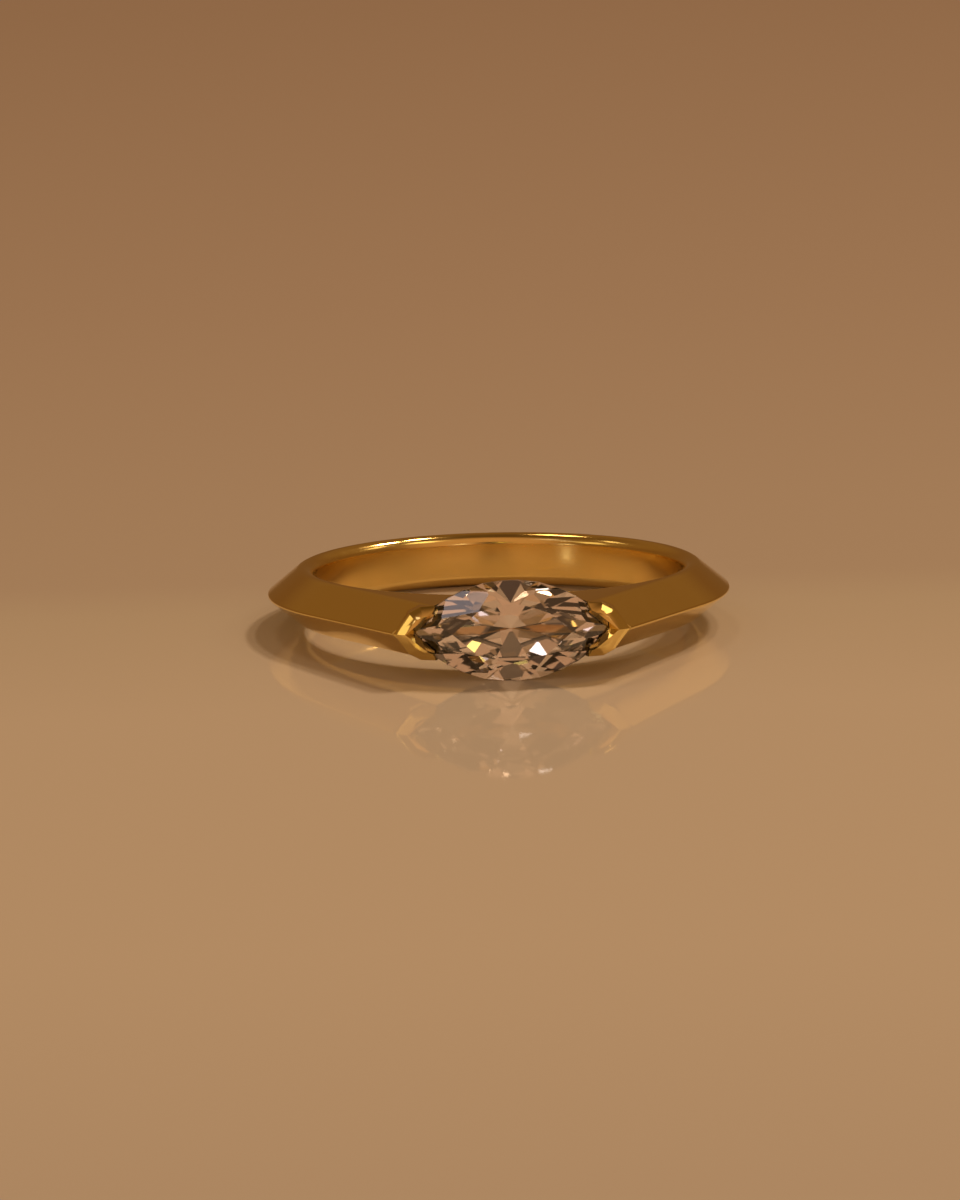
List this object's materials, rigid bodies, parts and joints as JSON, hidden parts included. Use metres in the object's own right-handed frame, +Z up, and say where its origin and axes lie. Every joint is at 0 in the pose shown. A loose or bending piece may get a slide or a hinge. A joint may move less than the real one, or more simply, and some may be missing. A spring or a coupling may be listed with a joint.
{
  "type": "pinky ring",
  "caption": "Knife edge pinky ring with straight shoulders rising to V claws that hold an east-west marquise stone, lying on its side.",
  "frame": {"origin": "middle of the ring's footprint on the surface that it lies on", "axes": "+Z up, the stone faces -Y, +X to the right as the stone is faced"},
  "size_m": [0.0188, 0.02, 0.004],
  "materials": {
    "yellow_gold": "polished",
    "clear_stone": "polished facets"
  },
  "bodies": {
    "root": {"ring_band": "yellow_gold", "marquise_stone": "clear_stone"}
  },
  "joints": []
}
